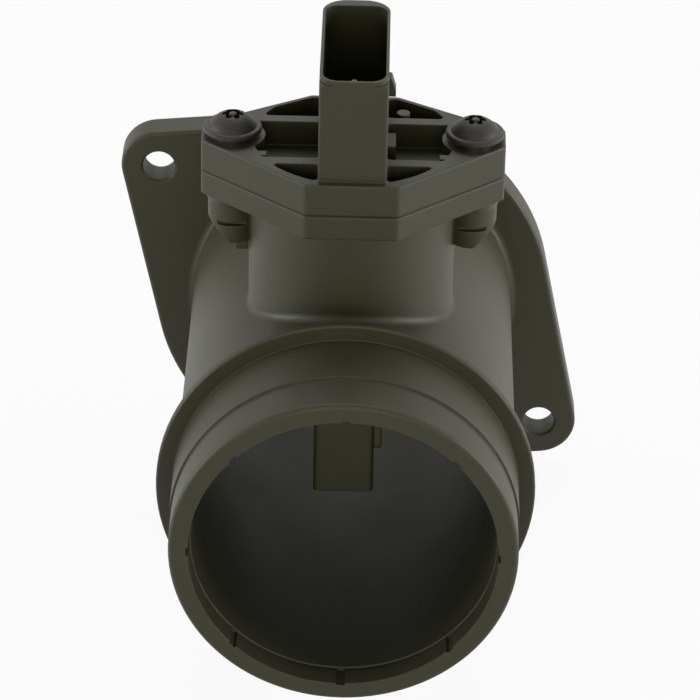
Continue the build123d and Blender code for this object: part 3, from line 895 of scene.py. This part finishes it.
    def build(self) -> None:
        """Set up the surround, table, lamps and camera."""
        self.surround()
        self.table()
        for box in self.boxes:
            box.build()
        self.camera()
        bpy.context.scene.view_settings.view_transform = "Standard"
        log.info("studio ready with %d soft boxes", len(self.boxes))


# ------------------------------------------------------------------ sub-assemblies


def merged_copy(source: bpy.types.Mesh, reach: float) -> tuple[bpy.types.Mesh, np.ndarray]:
    """Copy a mesh of loose triangles, merge its doubled vertices and carry its normals over.

    Args:
        source: The mesh that is copied, which stays as it is.
        reach: Distance in metres within which vertices become one.

    Returns:
        The merged copy, and the source's normal at each of its corners, shaped (corners, 3).
    """
    mesh = source.copy()
    packed = np.empty(len(source.loops) * 3, dtype=np.float32)
    source.corner_normals.foreach_get("vector", packed)
    mesh.attributes.new("packed_normal", "FLOAT_VECTOR", "CORNER").data.foreach_set("vector", packed)
    editable = bmesh.new()
    editable.from_mesh(mesh)
    bmesh.ops.remove_doubles(editable, verts=editable.verts, dist=reach)
    editable.to_mesh(mesh)
    editable.free()
    carried = mesh.attributes["packed_normal"]
    normals = np.empty(len(mesh.loops) * 3, dtype=np.float32)
    carried.data.foreach_get("vector", normals)
    mesh.attributes.remove(carried)
    return mesh, normals.reshape(-1, 3)


class Facing(Enum):
    """The way that a disc's flat face looks, as its sign along Y."""

    MOUTH = -1
    INLET = 1


@dataclass(frozen=True)
class RoundedRim:
    """Rounded edge between a disc's face and its rim, on the duct's axis, in millimetres.

    A point counts as on the edge where it is nearer to it than the slack.
    """

    disc_dia: float
    face_y: float
    facing: Facing
    edge_round: float
    slack: float = 0.02

    def true_normals(self, points: np.ndarray) -> tuple[np.ndarray, np.ndarray]:
        """Normals of the rounded edge, and the points that lie on it.

        Formula: the edge is a quarter of a ring with a round section. The ring's middle circle lies
        inside the rim and behind the face by the edge's radius, and the normal at a point runs to
        it from the nearest point of that circle.

        Args:
            points: Points in millimetres, shaped (count, 3).

        Returns:
            The unit normals, and a mask that is True for a point on the edge.
        """
        way = self.facing.value
        middle = self.disc_dia / 2 - self.edge_round
        depth = self.face_y - way * self.edge_round
        reach = np.hypot(points[:, 0], points[:, 2])
        share = middle / np.maximum(reach, self.slack)
        circle = np.stack(
            [points[:, 0] * share, np.full_like(reach, depth), points[:, 2] * share], axis=-1
        )
        arrow = points - circle
        length = np.linalg.norm(arrow, axis=-1)
        outside = (reach > middle - self.slack) & (way * (points[:, 1] - depth) > -self.slack)
        on_edge = outside & (np.abs(length - self.edge_round) < self.slack)
        return arrow / np.maximum(length, self.slack)[:, None], on_edge


@dataclass
class Duct:
    """Moulded duct housing with its seal, inlet screen and retaining ring, in millimetres."""

    flange_disc_dia: float = 86.8
    flange_thickness: float = 6.7
    flange_edge_round: float = 0.8
    spigot_length: float = 24.4
    bead_dia: float = 77.6
    bead_thickness: float = 2.2
    bead_round: float = 0.5
    tube_dia: float = 70.0
    lip_round: float = 1.0
    merge_reach: float = 0.001
    housing: MouldedPlastic = MouldedPlastic("glass_filled_polyamide_moulded")
    screen: MouldedPlastic = MouldedPlastic("acetal_screen_moulded", "#303027", roughness=0.42)
    seal: MouldedRubber = MouldedRubber("fluorosilicone_seal_moulded")
    ring: ToolMarkedMetal = ToolMarkedMetal(
        "spring_steel_wire_drawn", "#a8a8a4", "#c6c5bf", 0.30, Grain.ALONG_X
    )

    def rims(self, mouth_y: float) -> tuple[RoundedRim, ...]:
        """Rounded rims of the flange, of the bead's two sides and of the lip at the mouth.

        Args:
            mouth_y: Y of the duct's mouth in millimetres.

        Returns:
            The rims.
        """
        bead_y = mouth_y + self.spigot_length
        bead_end = bead_y + self.bead_thickness
        return (
            RoundedRim(self.flange_disc_dia, -self.flange_thickness, Facing.MOUTH, self.flange_edge_round),
            RoundedRim(self.bead_dia, bead_y, Facing.MOUTH, self.bead_round),
            RoundedRim(self.bead_dia, bead_end, Facing.INLET, self.bead_round),
            RoundedRim(self.tube_dia, mouth_y, Facing.MOUTH, self.lip_round),
        )

    def smooth_rims(self, node: str) -> bpy.types.Object:
        """Merged copy of the housing whose rounded rims have the true normals of a ring.

        The shape is the CAD node's, triangle for triangle. Only the normals on the rims are worked
        out anew, because the ones of thin triangles along a rim make its light waver.

        Args:
            node: The CAD node that is copied.

        Returns:
            The copy, linked to the scene.
        """
        mesh, normals = merged_copy(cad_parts[node].data, self.merge_reach * MM)
        corner = np.empty(len(mesh.loops), dtype=np.int32)
        mesh.loops.foreach_get("vertex_index", corner)
        place = np.empty(len(mesh.vertices) * 3, dtype=np.float32)
        mesh.vertices.foreach_get("co", place)
        points = place.reshape(-1, 3)[corner] / MM
        for rim in self.rims(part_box(node)[0].y / MM):
            true, on_edge = rim.true_normals(points)
            normals[on_edge] = true[on_edge]
        mesh.normals_split_custom_set(normals)
        piece = bpy.data.objects.new(node + "_smooth_rims", mesh)
        bpy.context.scene.collection.objects.link(piece)
        return piece

    def build(self) -> None:
        """Give the housing its smooth rims, and dress it and the duct's other nodes."""
        housing = self.smooth_rims("duct_housing")
        stand_in(housing, "duct_housing", self.housing.build())
        dress("inlet_screen", self.screen.build())
        dress("flange_seal", self.seal.build())
        dress("screen_ring", self.ring.build())


@dataclass
class SensorHead:
    """Plug-in sensor: head plate, connector tower, probe, covers and collar seal."""

    body: MouldedPlastic = MouldedPlastic("glass_filled_polyester_moulded")
    cover: MouldedPlastic = MouldedPlastic("polyester_cover_moulded", "#35352c", roughness=0.45)
    seal: MouldedRubber = MouldedRubber("collar_ring_rubber_moulded")
    pins: ToolMarkedMetal = ToolMarkedMetal(
        "tinned_copper_alloy_stamped", "#9b9a93", "#b9b7ae", 0.34, Grain.ALONG_Z
    )
    pin_count: int = 5

    def build(self) -> None:
        """Dress the sensor's nodes."""
        dress("sensor_body", self.body.build())
        cover = self.cover.build()
        dress("electronics_cover", cover)
        dress("bypass_cover", cover)
        dress("sensor_seal_ring", self.seal.build())
        pins = self.pins.build()
        for number in range(1, self.pin_count + 1):
            dress(f"contact_pin_{number}", pins)


@dataclass
class Electronics:
    """Base plate, circuit board, sensor element and air temperature sensor in the probe."""

    plate: ToolMarkedMetal = ToolMarkedMetal(
        "aluminium_sheet_rolled", "#c4c5c7", "#d6d7d8", 0.32, Grain.ALONG_Z
    )
    board: GlazedCeramic = GlazedCeramic("alumina_board_printed_and_fired")
    carrier: ToolMarkedMetal = ToolMarkedMetal(
        "stainless_carrier_stamped", "#b3b3b0", "#c9c9c4", 0.26, Grain.ALONG_Y
    )
    chip: EtchedSilicon = EtchedSilicon("silicon_chip_polished_and_etched")
    bead: DippedResin = DippedResin("epoxy_bead_dipped")

    def build(self) -> None:
        """Dress the nodes inside the probe."""
        for node, finish in (
            ("base_plate", self.plate),
            ("circuit_board", self.board),
            ("element_carrier", self.carrier),
            ("sensor_chip", self.chip),
            ("air_temperature_sensor", self.bead),
        ):
            dress(node, finish.build())


@dataclass
class ScrewJoint:
    """Two flanged button-head screws in steel sleeves and knurled brass inserts, in millimetres."""

    columns: int = 144
    flange_dia: float = 11.8
    flange_thickness: float = 1.2
    flange_chamfer: float = 0.3
    head_dia: float = 9.8
    head_height: float = 2.8
    socket_dia: float = 4.4
    socket_depth: float = 2.0
    lobe_dia: float = 1.3
    lobe_count: int = 6
    pin_dia: float = 1.7
    pin_chamfer: float = 0.2
    pin_drop: float = 0.1
    dome_rows: int = 12
    dome_first_share: float = 0.12
    thread_dia: float = 5.0
    thread_pitch: float = 0.8
    thread_depth: float = 0.42
    thread_length: float = 10.0
    thread_rows_per_turn: int = 10
    flank_slope: float = 1.3
    crest_flat: float = 0.12
    tip_chamfer: float = 0.6
    insert_length: float = 9.0
    insert_dia: float = 6.6
    knurl_bands: int = 3
    knurl_teeth: int = 36
    knurl_depth: float = 0.16
    groove_depth: float = 0.3
    groove_width: float = 1.2
    thread_gap: float = 0.02
    coating: CoatedSteel = CoatedSteel("zinc_flake_coated_steel_headed")
    tube: ToolMarkedMetal = ToolMarkedMetal(
        "steel_sleeve_drawn_and_cut", "#a9a8a2", "#c4c2bb", 0.33, Grain.ALONG_Z
    )
    brass: ToolMarkedMetal = ToolMarkedMetal(
        "brass_insert_turned_and_knurled", "#b08a4a", "#c9a562", 0.30, Grain.ROUND_Z
    )

    def angles(self) -> np.ndarray:
        """Angles of the columns, anticlockwise seen from above."""
        return np.linspace(0.0, 2 * np.pi, self.columns, endpoint=False)

    def place_of(self, node: str) -> tuple[tuple[float, float], float, float]:
        """Axis of an upright CAD node in metres, and its bottom and top in millimetres."""
        low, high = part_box(node)
        return ((low.x + high.x) / 2, (low.y + high.y) / 2), low.z / MM, high.z / MM

    def socket_radius(self) -> np.ndarray:
        """Radius of the lobed socket at each angle.

        Formula: a ray from the axis leaves a lobe, a circle centred on the core circle, at
        c cos d + sqrt(a^2 - c^2 sin^2 d), with c the core radius, a the lobe radius and d the
        angle from the nearest lobe. The socket is the larger of that and the core circle.

        Returns:
            The radii in millimetres.
        """
        lobe = self.lobe_dia / 2
        core = (self.socket_dia - self.lobe_dia) / 2
        step = 2 * np.pi / self.lobe_count
        off = np.mod(self.angles() + step / 2, step) - step / 2
        inside = np.clip(lobe**2 - (core * np.sin(off)) ** 2, 0.0, None)
        return np.maximum(core, core * np.cos(off) * (inside > 0) + np.sqrt(inside))

    def rings(self, axis: tuple[float, float], rows: list[Row]) -> np.ndarray:
        """Stand a list of (radius, height) rows round an axis.

        Formula: a point's X and Y are the axis's plus the radius times the cosine and the sine of
        its column's angle, and its Z is the height.

        Args:
            axis: X and Y of the axis in metres.
            rows: Radius and height of each row in millimetres, as numbers or one per column.

        Returns:
            The points in metres, shaped (rows, columns, 3).
        """
        angle = self.angles()
        radius = np.stack([np.broadcast_to(r, angle.shape) for r, _ in rows]) * MM
        height = np.stack([np.broadcast_to(h, angle.shape) for _, h in rows]) * MM
        x = axis[0] + radius * np.cos(angle)
        y = axis[1] + radius * np.sin(angle)
        return np.stack([x, y, height], axis=-1)

    def thread_rows(self, top: float, bottom: float) -> tuple[np.ndarray, np.ndarray]:
        """Heights and radii of a right-handed thread from its top to its bottom.

        Formula: the turn number is the height over the pitch less the share of a whole turn, and
        its fraction runs from 0 at one crest to 1 at the next. The groove is a triangle in that
        fraction, made steeper and cut flat at its crest and root, and the radius is the crest's
        less the groove.

        Args:
            top: Height where the thread starts, in millimetres.
            bottom: Height where it ends.

        Returns:
            The heights, one per row, and the radii, shaped (rows, columns).
        """
        count = int((top - bottom) / self.thread_pitch * self.thread_rows_per_turn)
        heights = np.linspace(top, bottom, count)
        turns = heights[:, None] / self.thread_pitch - self.angles()[None, :] / (2 * np.pi)
        triangle = 1.0 - np.abs(2.0 * np.mod(turns, 1.0) - 1.0)
        groove = np.clip(triangle * self.flank_slope - self.crest_flat, 0.0, 1.0)
        return heights, self.thread_dia / 2 - self.thread_depth * groove

    def screw(self, node: str) -> bpy.types.Object:
        """Screw as one revolved skin: centre pin, socket, dome, flange, shank, thread and tip.

        Formula: the dome is a sphere's cap. Its radius is the squares of the head's half width and
        height, added up and divided by twice the height.

        Args:
            node: The CAD screw whose place and height it takes.

        Returns:
            The screw object.
        """
        axis, tip, top = self.place_of(node)
        base = top - self.head_height
        seat = base - self.flange_thickness
        floor = top - self.socket_depth
        half_head = self.head_dia / 2
        half_flange = self.flange_dia / 2
        half_thread = self.thread_dia / 2
        half_pin = self.pin_dia / 2
        socket = self.socket_radius()
        dome = (half_head**2 + self.head_height**2) / (2 * self.head_height)

        def crown(radius: float | np.ndarray) -> float | np.ndarray:
            """Height of the domed head at a radius."""
            return top - dome + np.sqrt(dome**2 - np.square(radius))

        pin_top = crown(half_pin) - self.pin_drop
        rows: list[Row] = [
            (half_pin - self.pin_chamfer, pin_top),
            (half_pin, pin_top - self.pin_chamfer),
            (half_pin, floor),
            (socket, floor),
            (socket, crown(socket)),
        ]
        for share in np.linspace(self.dome_first_share, 1.0, self.dome_rows):
            radius = socket + (half_head - socket) * share
            rows.append((radius, crown(radius)))
        rows += [
            (half_flange - self.flange_chamfer, base),
            (half_flange, base - self.flange_chamfer),
            (half_flange, seat + self.flange_chamfer),
            (half_flange - self.flange_chamfer, seat),
            (half_thread, seat),
        ]
        heights, radii = self.thread_rows(tip + self.thread_length, tip + self.tip_chamfer)
        rows += list(zip(radii, heights))
        rows.append((half_thread - self.tip_chamfer, tip))
        return skin(node + "_threaded", self.rings(axis, rows), looped=False)

    def insert(self, node: str) -> bpy.types.Object:
        """Insert as one looped skin: knurled bands, the grooves between them and a threaded bore.

        Formula: a knurl's teeth are triangles round the axis, cut into the bands by the knurl's
        depth. The bands share the length, with a groove about each border between two of them.

        Args:
            node: The CAD insert whose place and height it takes.

        Returns:
            The insert object.
        """
        axis, bottom, top = self.place_of(node)
        outer = self.insert_dia / 2
        sunk = outer - self.groove_depth
        teeth = np.abs(np.mod(self.angles() * self.knurl_teeth / (2 * np.pi), 1.0) * 2 - 1)
        knurl = outer - self.knurl_depth * teeth
        edges = [top - self.knurl_depth]
        for band in range(1, self.knurl_bands):
            border = top - band * self.insert_length / self.knurl_bands
            edges += [border + self.groove_width / 2, border - self.groove_width / 2]
        edges.append(bottom + self.knurl_depth)
        rows: list[Row] = [(sunk, top)]
        for start, end in zip(edges[0::2], edges[1::2]):
            rows += [(sunk, start), (knurl, start), (knurl, end), (sunk, end)]
        rows.append((sunk, bottom))
        heights, radii = self.thread_rows(top, bottom)
        rows += list(zip(radii[::-1] + self.thread_gap, heights[::-1]))
        return skin(node + "_knurled", self.rings(axis, rows), looped=True)

    def build(self) -> None:
        """Make the screws and inserts and dress the sleeves."""
        coating = self.coating.build()
        brass = self.brass.build()
        tube = self.tube.build()
        for side in ("left", "right"):
            stand_in(self.screw("screw_" + side), "screw_" + side, coating)
            stand_in(self.insert("insert_" + side), "insert_" + side, brass)
            dress("sleeve_" + side, tube)


def main() -> None:
    """Build the studio and dress every sub-assembly."""
    logging.basicConfig(level=logging.INFO, format="%(name)s: %(message)s")
    Studio().build()
    for part in (Duct(), SensorHead(), Electronics(), ScrewJoint()):
        part.build()


if __name__ == "__main__":
    main()
